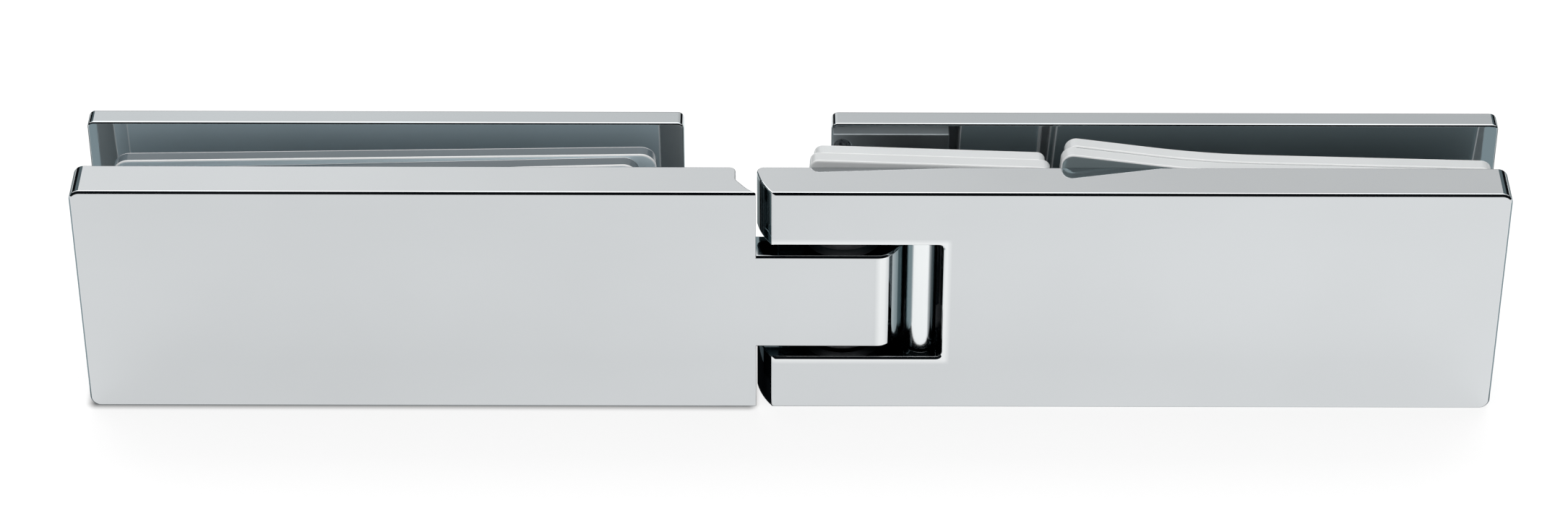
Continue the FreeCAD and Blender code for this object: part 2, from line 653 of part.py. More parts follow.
# Pivot pin, pressed into the lugs.
pivot_pin = document.addObject("Part::Cylinder", "pivot_pin")
pivot_pin.Label = "pivot_pin"
pivot_pin.setExpression("Radius", "dims.pin_radius")
pivot_pin.setExpression("Height", "dims.pin_half_length * 2")
place(pivot_pin, ZERO, ZERO, -size("pin_half_length"))

# Guard roller on its axle, upright in the notch.
axle = document.addObject("Part::Cylinder", "roller_axle")
axle.Label = "roller_axle"
axle.setExpression("Radius", "dims.axle_radius")
axle_half = notch_half + size("axle_seat") - size("axle_end_gap")
axle.setExpression("Height", (axle_half * 2).formula)
place(axle, size("roller_offset"), roller_y, -axle_half)

roller_half = notch_half - size("roller_end_gap")
roller_outside = document.addObject("Part::Cylinder", "guard_roller_outside")
roller_outside.setExpression("Radius", "dims.roller_radius")
roller_outside.setExpression("Height", (roller_half * 2).formula)
roller_bore = document.addObject("Part::Cylinder", "guard_roller_bore")
roller_bore.setExpression("Radius", "dims.axle_radius + dims.running_clearance")
roller_bore.setExpression("Height", ((roller_half + THROUGH) * 2).formula)
roller_bore.Placement.Base = FreeCAD.Vector(0, 0, -THROUGH.value)
guard_roller = document.addObject("Part::Cut", "guard_roller")
guard_roller.Base = roller_outside
guard_roller.Tool = roller_bore
guard_roller.Label = "guard_roller"
place(guard_roller, size("roller_offset"), roller_y, -roller_half)

document.recompute()

pieces = [fixed_leaf, door_leaf, fixed_back, door_back, pivot_pin, axle, guard_roller]
pieces += inlays + fasteners + bushes + grub_screws

for thing in document.Objects:
    if "Invalid" in thing.State or "Error" in thing.State:
        raise RuntimeError("%s is in state %s" % (thing.Label, thing.State))
for piece in pieces:
    shape = piece.Shape
    if shape.isNull() or not shape.isValid() or len(shape.Solids) != 1:
        raise RuntimeError("%s has no single valid solid" % piece.Label)

os.makedirs("parts", exist_ok=True)
for piece in pieces:
    piece.Shape.exportStep("parts/%s.step" % piece.Label)
    box = piece.Shape.BoundBox
    print("%-26s %8.1f mm3  x %7.2f %7.2f  y %7.2f %7.2f  z %6.2f %6.2f" % (
        piece.Label, piece.Shape.Volume, box.XMin, box.XMax, box.YMin, box.YMax, box.ZMin, box.ZMax))
print("%d pieces" % len(pieces))
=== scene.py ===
"""Polished glass-to-glass door hinge: finishes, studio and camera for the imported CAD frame.

Lengths are in metres where nothing else is said.
"""
import logging
import math
from dataclasses import dataclass, field
from enum import Enum
from typing import Sequence

import bmesh
import bpy
from mathutils import Matrix, Vector


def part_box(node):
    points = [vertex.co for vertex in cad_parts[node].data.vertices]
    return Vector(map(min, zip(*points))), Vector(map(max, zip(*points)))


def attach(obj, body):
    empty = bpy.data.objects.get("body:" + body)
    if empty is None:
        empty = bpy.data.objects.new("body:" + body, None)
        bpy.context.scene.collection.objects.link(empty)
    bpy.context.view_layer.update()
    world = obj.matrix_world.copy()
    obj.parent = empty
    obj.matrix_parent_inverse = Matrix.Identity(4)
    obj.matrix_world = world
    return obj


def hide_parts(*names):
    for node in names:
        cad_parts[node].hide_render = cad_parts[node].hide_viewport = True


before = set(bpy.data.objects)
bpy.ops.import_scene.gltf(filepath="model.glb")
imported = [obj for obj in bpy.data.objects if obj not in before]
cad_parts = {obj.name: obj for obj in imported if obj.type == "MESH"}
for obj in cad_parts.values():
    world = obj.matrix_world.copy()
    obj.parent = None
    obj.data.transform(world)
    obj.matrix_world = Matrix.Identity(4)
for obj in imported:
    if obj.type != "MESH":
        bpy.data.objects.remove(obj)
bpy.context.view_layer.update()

LOG = logging.getLogger("door_hinge")
MM = 0.001
MID_HEIGHT = 25.0 * MM
HINGE_SPAN = (-160.0 * MM, 160.0 * MM)
SCREW_PLACE = "screw_place"
# The Mix node repeats its names for each kind of value, so the colour ones go by number.
MIX_INPUTS = (0, 6, 7)
MIX_RESULT = 2

Point = tuple[float, float, float]
Colour = tuple[float, float, float]
Pair = tuple[float, float]
Ends = tuple[float, float]
Plug = tuple[bpy.types.Node, str | int]


class Facing(Enum):
    """The way that the axis of a turned piece points."""

    ACROSS = (math.radians(90.0), 0.0, 0.0)
    UPRIGHT = (0.0, 0.0, 0.0)


class Side(Enum):
    """The two leaves of the hinge, by the CAD body that each one is."""

    FIXED = "fixed_leaf"
    DOOR = "door_leaf"


@dataclass
class Wires:
    """A node tree, with short calls to add nodes and to feed one from another."""

    tree: bpy.types.NodeTree

    def feed(self, node: bpy.types.Node, into: str | int, value: object) -> None:
        """Gives an input its value.

        Args:
            node: the node whose input it is.
            into: the input.
            value: a plug, which is joined to the input, or a plain value.
        """
        if isinstance(value, tuple) and isinstance(value[0], bpy.types.Node):
            source, out = value
            self.tree.links.new(source.outputs[out], node.inputs[into])
        else:
            node.inputs[into].default_value = value

    def add(self, kind: str, *firsts: object, **others: object) -> bpy.types.Node:
        """Adds a node and sets it up.

        Args:
            kind: Blender's type name of the node.
            *firsts: what its first inputs get, in order, as plugs or plain values.
            **others: the node's own settings, in small letters, and what other inputs get, with a capital first
                and spaces written as underscores.

        Returns:
            The new node.
        """
        node = self.tree.nodes.new(kind)
        for key, value in others.items():
            if key[0].islower():
                setattr(node, key, value)
            else:
                self.feed(node, key.replace("_", " "), value)
        for into, value in enumerate(firsts):
            self.feed(node, into, value)
        return node

    def math(self, operation: str, *values: object) -> Plug:
        """Works out a number from plugs and numbers."""
        return self.add("ShaderNodeMath", *values, operation=operation), "Value"

    def vector(self, operation: str, *values: object) -> Plug:
        """Works out a vector, or its length, from plugs and points."""
        out = "Value" if operation == "LENGTH" else "Vector"
        return self.add("ShaderNodeVectorMath", *values, operation=operation), out

    def coordinates(self) -> Plug:
        """Gives the Object coordinates."""
        return self.add("ShaderNodeTexCoord"), "Object"

    def parts(self, vector: Plug) -> bpy.types.Node:
        """Splits a vector, and gives the node whose outputs are X, Y and Z."""
        return self.add("ShaderNodeSeparateXYZ", vector)

    def spread(self, source: Plug, low: float, high: float, start: float = 0.0, end: float = 1.0) -> Plug:
        """Maps a value between start and end to one between low and high."""
        return self.add("ShaderNodeMapRange", source, From_Min=start, From_Max=end, To_Min=low,
                        To_Max=high), "Result"

    def across(self, levels: Ends, axis: str = "X", span: Ends = HINGE_SPAN) -> Plug:
        """Gives a level that changes along an axis, from the first to the second over a span in metres."""
        return self.spread((self.parts(self.coordinates()), axis), *levels, *span)

    def rays(self, first: str, *others: str) -> Plug:
        """Tells the named kinds of ray from the rest.

        Args:
            first: one kind, by its output of the Light Path node.
            *others: more kinds.

        Returns:
            1 for the named kinds, and 0 for the rest.
        """
        path = self.add("ShaderNodeLightPath")
        value: Plug = (path, first)
        for kind in others:
            value = self.math("MAXIMUM", value, (path, kind))
        return value


def blank_material(name: str) -> tuple[bpy.types.Material, Wires, bpy.types.Node]:
    """Makes a material with nothing in it but its output node.

    Args:
        name: the material's name.

    Returns:
        The material, its wires and its output node.
    """
    material = bpy.data.materials.new(name)
    material.use_nodes = True
    wires = Wires(material.node_tree)
    wires.tree.nodes.clear()
    return material, wires, wires.add("ShaderNodeOutputMaterial")


class FinishWires(Wires):
    """The wires of a finish, which all end in one Principled shader."""

    def __init__(self, name: str) -> None:
        """Starts a material with one Principled shader on its output.

        Args:
            name: the material's name.
        """
        self.material, wires, output = blank_material(name)
        super().__init__(wires.tree)
        self.shader = self.add("ShaderNodeBsdfPrincipled")
        self.feed(output, "Surface", (self.shader, "BSDF"))

    def place(self, centre: Point = (0.0, 0.0, MID_HEIGHT), turn: Point = (0.0, 0.0, 0.0),
              scale: Point = (1.0, 1.0, 1.0)) -> Plug:
        """Gives Object coordinates from a piece's own centre, turned by radians and scaled."""
        centred = self.vector("SUBTRACT", self.coordinates(), centre)
        return self.add("ShaderNodeMapping", centred, Rotation=turn, Scale=scale), "Vector"

    def noise(self, placed: Plug, scale: float, detail: float, roughness: float) -> Plug:
        """Adds a noise pattern on the placed coordinates, and gives its strength."""
        return self.add("ShaderNodeTexNoise", placed, Scale=scale, Detail=detail, Roughness=roughness), "Fac"

    def gloss(self, pattern: Plug, smooth: float, rough: float) -> None:
        """Gives the shader a roughness between two values, by a pattern."""
        self.feed(self.shader, "Roughness", self.spread(pattern, smooth, rough, 0.3, 0.7))

    def shades(self, pattern: Plug, colour: Colour, dark: float, light: float = 1.0,
               span: Ends = (0.3, 0.7)) -> Plug:
        """Turns a pattern into near shades of a colour.

        Args:
            pattern: the pattern.
            colour: the colour.
            dark: share of the colour where the pattern is weak.
            light: share of the colour where the pattern is strong.
            span: strengths of the pattern between which the shade changes.

        Returns:
            The shaded colour.
        """
        ramp = self.add("ShaderNodeValToRGB", pattern)
        for place, share in enumerate((dark, light)):
            ramp.color_ramp.elements[place].position = span[place]
            ramp.color_ramp.elements[place].color = (*(channel * share for channel in colour), 1.0)
        return ramp, "Color"

    def paint(self, colour: Plug) -> None:
        """Gives the shader its colour."""
        self.feed(self.shader, "Base Color", colour)

    def lay(self, mask: Plug, under: Plug, over: Colour) -> Plug:
        """Lays one colour over another where a mask is 1.

        Args:
            mask: the mask.
            under: the colour below.
            over: the colour laid on it.

        Returns:
            The resulting colour.
        """
        node = self.add("ShaderNodeMix", data_type="RGBA")
        for into, value in zip(MIX_INPUTS, (mask, under, (*over, 1.0))):
            self.feed(node, into, value)
        return node, MIX_RESULT

    def emboss(self, pattern: Plug, strength: float, depth: float) -> None:
        """Gives the shader a bump by a pattern of heights, with its strength and its real depth."""
        bump = self.add("ShaderNodeBump", Strength=strength, Distance=depth, Height=pattern)
        self.feed(self.shader, "Normal", (bump, "Normal"))


@dataclass(frozen=True)
class NotchPaintedLightAndSatin:
    """How a casting's chrome changes round the knuckle: painted shade on the walls in the notch, a painted highlight
    on the front edges beside it, and satin behind.
    """

    recess: Ends
    recess_shade_colour: Colour
    highlight_band: Ends
    highlight_height: float
    front: float = -13.25 * MM
    recess_height: float = 24.3 * MM
    recess_edge: float = 0.3 * MM
    recess_start: Ends = (0.2 * MM, 2.4 * MM)
    recess_end: Ends = (9.0 * MM, 11.0 * MM)
    highlight_edge: float = 1.0 * MM
    highlight_depth: Ends = (0.15 * MM, 0.9 * MM)
    highlight_colour: Colour = (0.84, 0.86, 0.865)
    rear: float = -4.9 * MM
    rear_edge: float = 0.15 * MM
    rear_gloss: float = 0.55

    def from_front(self, wiring: FinishWires, ends: Ends) -> bpy.types.Node:
        """Gives X from the middle between two ends, Y from the front face, and Z from mid height."""
        return wiring.parts(wiring.place((sum(ends) / 2, self.front, MID_HEIGHT)))

    def within(self, wiring: FinishWires, parts: bpy.types.Node, mask: Plug, reaches: Pair,
               edge: float) -> Plug:
        """Lets a mask fall to 0 outside a rectangle.

        Args:
            wiring: the material's wiring.
            parts: the place, measured from the rectangle's middle.
            mask: the mask.
            reaches: half the rectangle's sizes along X and Z.
            edge: how far past the rectangle the mask reaches 0.

        Returns:
            The mask.
        """
        for axis, reach in zip("XZ", reaches):
            away = wiring.math("ABSOLUTE", (parts, axis))
            mask = wiring.math("MULTIPLY", mask, wiring.spread(away, 1.0, 0.0, reach, reach + edge))
        return mask

    def painted_recess_shade(self, wiring: FinishWires) -> Plug:
        """Finds the walls inside the notch and the gap, where shade is painted into the colour.

        Args:
            wiring: the material's wiring.

        Returns:
            1 on those walls, and 0 elsewhere.
        """
        parts = self.from_front(wiring, self.recess)
        deep = wiring.spread((parts, "Y"), 0.0, 1.0, *self.recess_start)
        shallow = wiring.spread((parts, "Y"), 1.0, 0.0, *self.recess_end)
        half_width = (self.recess[1] - self.recess[0]) / 2
        reaches = (half_width - self.recess_edge, self.recess_height - self.recess_edge)
        return self.within(wiring, parts, wiring.math("MULTIPLY", deep, shallow), reaches, self.recess_edge)

    def painted_highlight(self, wiring: FinishWires) -> Plug:
        """Finds the front edges beside the notch, where a highlight is painted into the colour.

        Args:
            wiring: the material's wiring.

        Returns:
            1 on those edges, and 0 elsewhere.
        """
        parts = self.from_front(wiring, self.highlight_band)
        mask = wiring.spread((parts, "Y"), 1.0, 0.0, *self.highlight_depth)
        reaches = ((self.highlight_band[1] - self.highlight_band[0]) / 2, self.highlight_height)
        return self.within(wiring, parts, mask, reaches, self.highlight_edge)

    def satin(self, wiring: FinishWires) -> Plug:
        """Gives the roughness of the rear side, which is only blasted before it is plated, and 0 in front."""
        parts = wiring.parts(wiring.place((0.0, self.rear, MID_HEIGHT)))
        return wiring.spread((parts, "Y"), 0.0, self.rear_gloss, -self.rear_edge, 0.0)


@dataclass(frozen=True)
class PolishedChrome:
    """Mirror chrome over a buffed piece, with faint wipe marks along it."""

    name: str
    colour: Colour = (0.65, 0.672, 0.685)
    clean: float = 0.035
    wiped: float = 0.075
    waviness: float = 0.05
    notch: NotchPaintedLightAndSatin | None = None

    def material(self) -> bpy.types.Material:
        """Builds the chrome.

        Returns:
            The material.
        """
        wiring = FinishWires(self.name)
        wiring.shader.inputs["Metallic"].default_value = 1.0
        wipes = wiring.noise(wiring.place(scale=(40.0, 40.0, 220.0)), scale=1.0, detail=5.0, roughness=0.55)
        gloss = wiring.spread(wipes, self.clean, self.wiped, start=0.35, end=0.75)
        placed = wiring.place()
        patches = wiring.noise(placed, scale=18.0, detail=3.0, roughness=0.5)
        shade = wiring.shades(patches, self.colour, dark=0.97, light=1.02)
        if self.notch:
            gloss = wiring.math("MAXIMUM", gloss, self.notch.satin(wiring))
            # painted highlight: the front edges beside the notch are lightened in the colour
            shade = wiring.lay(self.notch.painted_highlight(wiring), shade, self.notch.highlight_colour)
            # painted shade: the walls in the notch and the gap are darkened in the colour
            shade = wiring.lay(self.notch.painted_recess_shade(wiring), shade, self.notch.recess_shade_colour)
        wiring.feed(wiring.shader, "Roughness", gloss)
        wiring.paint(shade)
        buffing = wiring.noise(placed, scale=90.0, detail=2.0, roughness=0.4)
        wiring.emboss(buffing, self.waviness, depth=0.02 * MM)
        return wiring.material


@dataclass(frozen=True)
class TurnedSteel:
    """Bright steel with the fine rings of a lathe about its own axis."""

    name: str
    centre: Point = (0.0, 0.0, 0.0)
    facing: Facing = Facing.UPRIGHT
    attribute: str = ""
    colour: Colour = (0.55, 0.56, 0.57)
    ring_scale: float = 1.0 / (2.4 * MM)

    def material(self) -> bpy.types.Material:
        """Builds the steel.

        Returns:
            The material.
        """
        wiring = FinishWires(self.name)
        wiring.shader.inputs["Metallic"].default_value = 1.0
        if self.attribute:
            placed = (wiring.add("ShaderNodeAttribute", attribute_name=self.attribute), "Vector")
        else:
            placed = wiring.place(self.centre, self.facing.value)
        rings = wiring.add("ShaderNodeTexWave", placed, wave_type="RINGS", rings_direction="Z",
                           Scale=self.ring_scale, Distortion=0.6, Detail=2.0)
        grain = wiring.noise(placed, scale=900.0, detail=4.0, roughness=0.6)
        wiring.gloss(grain, smooth=0.22, rough=0.4)
        wiring.paint(wiring.shades(grain, self.colour, dark=0.8, light=1.12, span=(0.25, 0.75)))
        wiring.emboss((rings, "Fac"), strength=0.25, depth=0.01 * MM)
        return wiring.material


@dataclass(frozen=True)
class MouldedPlastic:
    """Satin plastic with the fine grain of its mould."""

    name: str
    centre: Point
    colour: Colour
    grain: float
    detail: float
    roughness: float
    gloss: Ends
    shades: Ends
    relief: float
    facing: Facing = Facing.UPRIGHT

    def material(self) -> bpy.types.Material:
        """Builds the moulded plastic.

        Returns:
            The material.
        """
        wiring = FinishWires(self.name)
        placed = wiring.place(self.centre, self.facing.value)
        grain = wiring.noise(placed, self.grain, self.detail, self.roughness)
        wiring.gloss(grain, *self.gloss)
        wiring.paint(wiring.shades(grain, self.colour, *self.shades))
        wiring.emboss(grain, self.relief, depth=0.01 * MM)
        return wiring.material


@dataclass(frozen=True)
class BearingPlastic(MouldedPlastic):
    """Dark satin plastic of the knuckle's plain bearings."""

    colour: Colour = (0.06, 0.06, 0.065)
    grain: float = 1400.0
    detail: float = 4.0
    roughness: float = 0.6
    gloss: Ends = (0.38, 0.55)
    shades: Ends = (0.8, 1.3)
    relief: float = 0.2


@dataclass(frozen=True)
class SleevePlastic(MouldedPlastic):
    """White plastic of the sleeves round the clamp screws."""

    colour: Colour = (0.86, 0.87, 0.87)
    grain: float = 700.0
    detail: float = 3.0
    roughness: float = 0.5
    gloss: Ends = (0.28, 0.42)
    shades: Ends = (0.93, 1.0)
    relief: float = 0.15
    facing: Facing = Facing.ACROSS


@dataclass(frozen=True)
class ClearInlay:
    """Clear, slightly milky sheet plastic with flow lines and cloudier patches."""

    name: str
    centre: Point
    colour: Colour
    clearness: float

    def material(self) -> bpy.types.Material:
        """Builds the sheet plastic.

        Returns:
            The material.
        """
        wiring = FinishWires(self.name)
        wiring.shader.inputs["IOR"].default_value = 1.49
        wiring.shader.inputs["Transmission Weight"].default_value = self.clearness
        placed = wiring.place(self.centre)
        clouds = wiring.noise(placed, scale=60.0, detail=3.0, roughness=0.5)
        wiring.gloss(clouds, smooth=0.06, rough=0.14)
        wiring.paint(wiring.shades(clouds, self.colour, dark=0.96))
        flow = wiring.noise(placed, scale=250.0, detail=2.0, roughness=0.5)
        wiring.emboss(flow, strength=0.12, depth=0.02 * MM)
        return wiring.material


Finish = PolishedChrome | TurnedSteel | MouldedPlastic | ClearInlay
SheetLook = tuple[Colour, float]


def middle_of(node: str) -> Point:
    """Gives the middle of a CAD node's box, in metres."""
    low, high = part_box(node)
    return tuple((low + high) / 2)


def dress(node: str, finish: Finish) -> None:
    """Gives a CAD node its finish.

    Args:
        node: the CAD node's name.
        finish: the finish whose material goes into the node's slots.
    """
    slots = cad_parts[node].data.materials
    material = finish.material()
    for place in range(len(slots)):
        slots[place] = material
    if not slots:
        slots.append(material)
    LOG.info("%s: %s", node, type(finish).__name__)


def add_piece(name: str, mesh: bpy.types.Mesh, body: str, nodes: Sequence[str]) -> bpy.types.Object:
    """Adds a finished piece to the hinge.

    Args:
        name: the piece's name.
        mesh: its mesh, in the frame's own place, with its material.
        body: the CAD body that it rides on.
        nodes: the CAD nodes that it stands for.

    Returns:
        The piece.
    """
    piece = bpy.data.objects.new(name, mesh)
    bpy.context.scene.collection.objects.link(piece)
    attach(piece, body)
    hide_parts(*nodes)
    LOG.info("%s: %d faces", name, len(mesh.polygons))
    return piece


def finished_mesh(name: str, worker: bpy.types.Object) -> bpy.types.Mesh:
    """Turns an object with its modifiers into a plain mesh, and removes the object.

    Args:
        name: the new mesh's name.
        worker: the object.

    Returns:
        The mesh.
    """
    bpy.context.scene.collection.objects.link(worker)
    graph = bpy.context.evaluated_depsgraph_get()
    mesh = bpy.data.meshes.new_from_object(worker.evaluated_get(graph), depsgraph=graph)
    mesh.name = name
    bpy.data.objects.remove(worker)
    return mesh


@dataclass
class RoundedPiece:
    """A CAD solid whose edges are rounded, as polishing or moulding leaves them. Angles are in degrees."""

    name: str
    node: str
    body: str
    slot: str
    width: float
    segments: int = 3
    bevelled: float = 0.5
    face_depth: float = -12.85 * MM
    smooth_angle: float = 25.0
    square_angle: float = 60.0
    weld: float = 0.002 * MM
    flat_angle: float = 0.5
    face_weight: int = 50
    broad: float = 0.9

    def edge_weight(self, edge: bmesh.types.BMEdge) -> float:
        """Tells how far an edge is rounded.

        Args:
            edge: the edge.

        Returns:
            1 for a square edge, less for the edges of the front bevel, and 0 for a smooth one.
        """
        angle = math.degrees(edge.calc_face_angle(0.0))
        if angle < self.smooth_angle:
            return 0.0
        in_front = all(vertex.co.y < self.face_depth for vertex in edge.verts)
        return self.bevelled if in_front or angle < self.square_angle else 1.0

    def merged(self) -> bpy.types.Mesh:
        """Copies the CAD mesh, joins its loose triangles, and marks the edges to round.

        Returns:
            The copy, with a bevel weight on each sharp edge.
        """
        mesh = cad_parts[self.node].data.copy()
        shape = bmesh.new()
        shape.from_mesh(mesh)
        bmesh.ops.remove_doubles(shape, verts=shape.verts, dist=self.weld)
        bmesh.ops.dissolve_limit(shape, angle_limit=math.radians(self.flat_angle), verts=shape.verts,
                                 edges=shape.edges)
        weight = shape.edges.layers.float.new("bevel_weight_edge")
        for edge in shape.edges:
            edge[weight] = self.edge_weight(edge)
        plain = bpy.data.meshes.new(self.name)
        shape.to_mesh(plain)
        shape.free()
        plain.shade_smooth()
        return plain

    def build(self, *finishes: Finish) -> bpy.types.Object:
        """Builds the piece and puts it in place of its node.

        Args:
            *finishes: the finish of its top and ends, and where they differ, of its rims and of its broad faces.

        Returns:
            The piece.
        """
        plain = self.merged()
        for finish in finishes:
            plain.materials.append(finish.material())
        worker = bpy.data.objects.new(self.name + "_plain", plain)
        rounding = worker.modifiers.new("rounding", "BEVEL")
        rounding.limit_method = "WEIGHT"
        rounding.offset_type = "OFFSET"
        rounding.width = self.width
        rounding.segments = self.segments
        rounding.use_clamp_overlap = False
        rounding.material = min(1, len(finishes) - 1)
        level = worker.modifiers.new("level", "WEIGHTED_NORMAL")
        level.mode = "FACE_AREA"
        level.weight = self.face_weight
        mesh = finished_mesh(self.name, worker)
        for face in mesh.polygons:
            if abs(face.normal.y) > self.broad:
                face.material_index = len(finishes) - 1
        return add_piece(self.name, mesh, self.body, (self.node,))


@dataclass
class GeometryPlan:
    """A Geometry Nodes tree, with short calls to name its sizes and join its nodes."""

    name: str
    tree: bpy.types.NodeTree = field(init=False)
    entry: bpy.types.Node = field(init=False)
    sizes: dict[str, str] = field(default_factory=dict)

    def __post_init__(self) -> None:
        """Starts a tree with a geometry in and a geometry out."""
        self.tree = bpy.data.node_groups.new(self.name, "GeometryNodeTree")
        for way in ("INPUT", "OUTPUT"):
            self.tree.interface.new_socket(name="Geometry", in_out=way, socket_type="NodeSocketGeometry")
        self.entry = self.tree.nodes.new("NodeGroupInput")

    def size(self, name: str, kind: str = "Float") -> None:
        """Adds a named input to the tree."""
        socket = self.tree.interface.new_socket(name=name, in_out="INPUT", socket_type="NodeSocket" + kind)
        self.sizes[name] = socket.identifier

    def add(self, kind: str, links: dict[str | int, object], **settings: object) -> bpy.types.Node:
        """Adds a node.

        Args:
            kind: Blender's type name of the node.
            links: what each input gets, as an output socket, the name of a size, or a plain value.
            **settings: the node's own settings.

        Returns:
            The node.
        """
        node = self.tree.nodes.new(kind)
        for key, value in settings.items():
            setattr(node, key, value)
        for key, value in links.items():
            if isinstance(value, str):
                self.tree.links.new(self.entry.outputs[value], node.inputs[key])
            elif isinstance(value, bpy.types.NodeSocket):
                self.tree.links.new(value, node.inputs[key])
            else:
                node.inputs[key].default_value = value
        return node

    def math(self, operation: str, first: object, second: object) -> bpy.types.NodeSocket:
        """Adds a sum of two values, and gives its output."""
        return self.add("ShaderNodeMath", {0: first, 1: second}, operation=operation).outputs[0]

    def lift(self, geometry: bpy.types.NodeSocket, height: object) -> bpy.types.NodeSocket:
        """Moves a geometry along Z.

        Args:
            geometry: the geometry.
            height: how far it moves, as a socket, the name of a size, or a number.

        Returns:
            The moved geometry.
        """
        place = self.add("ShaderNodeCombineXYZ", {"Z": height})
        moved = self.add("GeometryNodeTransform", {"Geometry": geometry, "Translation": place.outputs[0]})
        return moved.outputs[0]

    def joined(self, *shapes: bpy.types.NodeSocket) -> bpy.types.NodeSocket:
        """Joins geometries into one.

        Args:
            *shapes: the geometries.

        Returns:
            All of them together.
        """
        node = self.add("GeometryNodeJoinGeometry", {})
        for shape in shapes:
            self.tree.links.new(shape, node.inputs[0])
        return node.outputs[0]


@dataclass
class ThreadedScrews:
    """A row of equal socket screws with a cut thread, each standing head up on its own axis."""

    name: str
    side: Side
    nodes: tuple[str, ...]
    start: Point
    step: Point
    head_radius: float
    head_height: float
    shank_radius: float
    length: float
    socket: float
    socket_depth: float
    pitch: float
    crest: float
    turn: Point = (math.radians(-90.0), 0.0, 0.0)
    socket_turn: float = math.radians(30.0)
    socket_sides: int = 6
    head_sides: int = 64
    core_sides: int = 48
    thread_steps: int = 40
    ridge_sides: int = 4
    core_gap: float = 0.1 * MM
    plain_pitches: float = 1.5
    crease: float = math.radians(35.0)

    def head(self, plan: GeometryPlan) -> bpy.types.NodeSocket:
        """Makes the head with its hexagon socket.

        Args:
            plan: the tree.

        Returns:
            The head, with its top at 0.
        """
        cone = plan.add("GeometryNodeMeshCone", {
            "Vertices": self.head_sides, "Radius Top": "Head Radius", "Radius Bottom": "Root Radius",
            "Depth": "Head Height"})
        placed = plan.lift(cone.outputs["Mesh"], plan.math("MULTIPLY", "Head Height", -1.0))
        across = plan.math("DIVIDE", "Socket Size", math.cos(self.socket_turn))
        key = plan.add("GeometryNodeMeshCylinder", {
            "Vertices": self.socket_sides, "Radius": across, "Depth": plan.math("MULTIPLY", "Socket Depth", 2.0)})
        turned = plan.add("GeometryNodeTransform", {
            "Geometry": key.outputs["Mesh"], "Rotation": (0.0, 0.0, self.socket_turn)})
        cut = plan.add("GeometryNodeMeshBoolean", {"Mesh 1": placed, "Mesh 2": turned.outputs[0]},
                       operation="DIFFERENCE")
        return cut.outputs["Mesh"]

    def shank(self, plan: GeometryPlan) -> bpy.types.NodeSocket:
        """Makes the round core with its tapered tip.

        Args:
            plan: the tree.

        Returns:
            The core, from under the socket to the screw's end.
        """
        start = plan.math("ADD", "Socket Depth", self.core_gap)
        body = plan.math("SUBTRACT", plan.math("SUBTRACT", "Length", start), "Pitch")
        core = plan.add("GeometryNodeMeshCone", {
            "Vertices": self.core_sides, "Radius Top": "Root Radius", "Radius Bottom": "Root Radius",
            "Depth": body})
        tip = plan.add("GeometryNodeMeshCone", {
            "Vertices": self.core_sides, "Radius Top": "Root Radius",
            "Radius Bottom": plan.math("SUBTRACT", "Root Radius", "Crest"), "Depth": "Pitch"})
        low = plan.math("MULTIPLY", "Length", -1.0)
        return plan.joined(plan.lift(core.outputs["Mesh"], plan.math("ADD", low, "Pitch")),
                           plan.lift(tip.outputs["Mesh"], low))

    def thread(self, plan: GeometryPlan) -> bpy.types.NodeSocket:
        """Makes the thread's crest as a helix round the core.

        Args:
            plan: the tree.

        Returns:
            The crest, from one pitch above the screw's end.
        """
        rise = plan.math("SUBTRACT", plan.math("SUBTRACT", "Length", "Head Height"),
                         plan.math("MULTIPLY", "Pitch", self.plain_pitches))
        turns = plan.math("DIVIDE", rise, "Pitch")
        helix = plan.add("GeometryNodeCurveSpiral", {
            "Resolution": self.thread_steps, "Rotations": turns, "Start Radius": "Root Radius",
            "End Radius": "Root Radius", "Height": rise})
        level = plan.add("GeometryNodeSetCurveNormal", {"Curve": helix.outputs[0]}, mode="Z_UP")
        ridge = plan.add("GeometryNodeCurvePrimitiveCircle", {"Resolution": self.ridge_sides, "Radius": "Crest"})
        swept = plan.add("GeometryNodeCurveToMesh", {
            "Curve": level.outputs[0], "Profile Curve": ridge.outputs["Curve"], "Fill Caps": True})
        return plan.lift(swept.outputs[0], plan.math("SUBTRACT", "Pitch", "Length"))

    def plan(self) -> GeometryPlan:
        """Draws the tree that makes one screw and sets it along its row.

        Returns:
            The tree.
        """
        plan = GeometryPlan(self.name + "_plan")
        for size in ("Head Radius", "Head Height", "Root Radius", "Length", "Socket Size",
                     "Socket Depth", "Pitch", "Crest"):
            plan.size(size)
        for vector in ("Start", "Step", "Turn"):
            plan.size(vector, "Vector")
        plan.size("Count", "Int")
        plan.size("Finish", "Material")
        screw = plan.joined(self.head(plan), self.shank(plan), self.thread(plan))
        place = plan.add("GeometryNodeInputPosition", {})
        kept = plan.add("GeometryNodeStoreNamedAttribute", {
            "Geometry": screw, "Value": place.outputs[0]}, data_type="FLOAT_VECTOR")
        kept.inputs["Name"].default_value = SCREW_PLACE
        row = plan.add("GeometryNodeMeshLine", {"Count": "Count", "Start Location": "Start", "Offset": "Step"})
        spread = plan.add("GeometryNodeInstanceOnPoints", {
            "Points": row.outputs[0], "Instance": kept.outputs[0], "Rotation": "Turn"})
        solid = plan.add("GeometryNodeRealizeInstances", {"Geometry": spread.outputs[0]})
        dressed = plan.add("GeometryNodeSetMaterial", {"Geometry": solid.outputs[0], "Material": "Finish"})
        plan.add("NodeGroupOutput", {0: dressed.outputs[0]})
        return plan

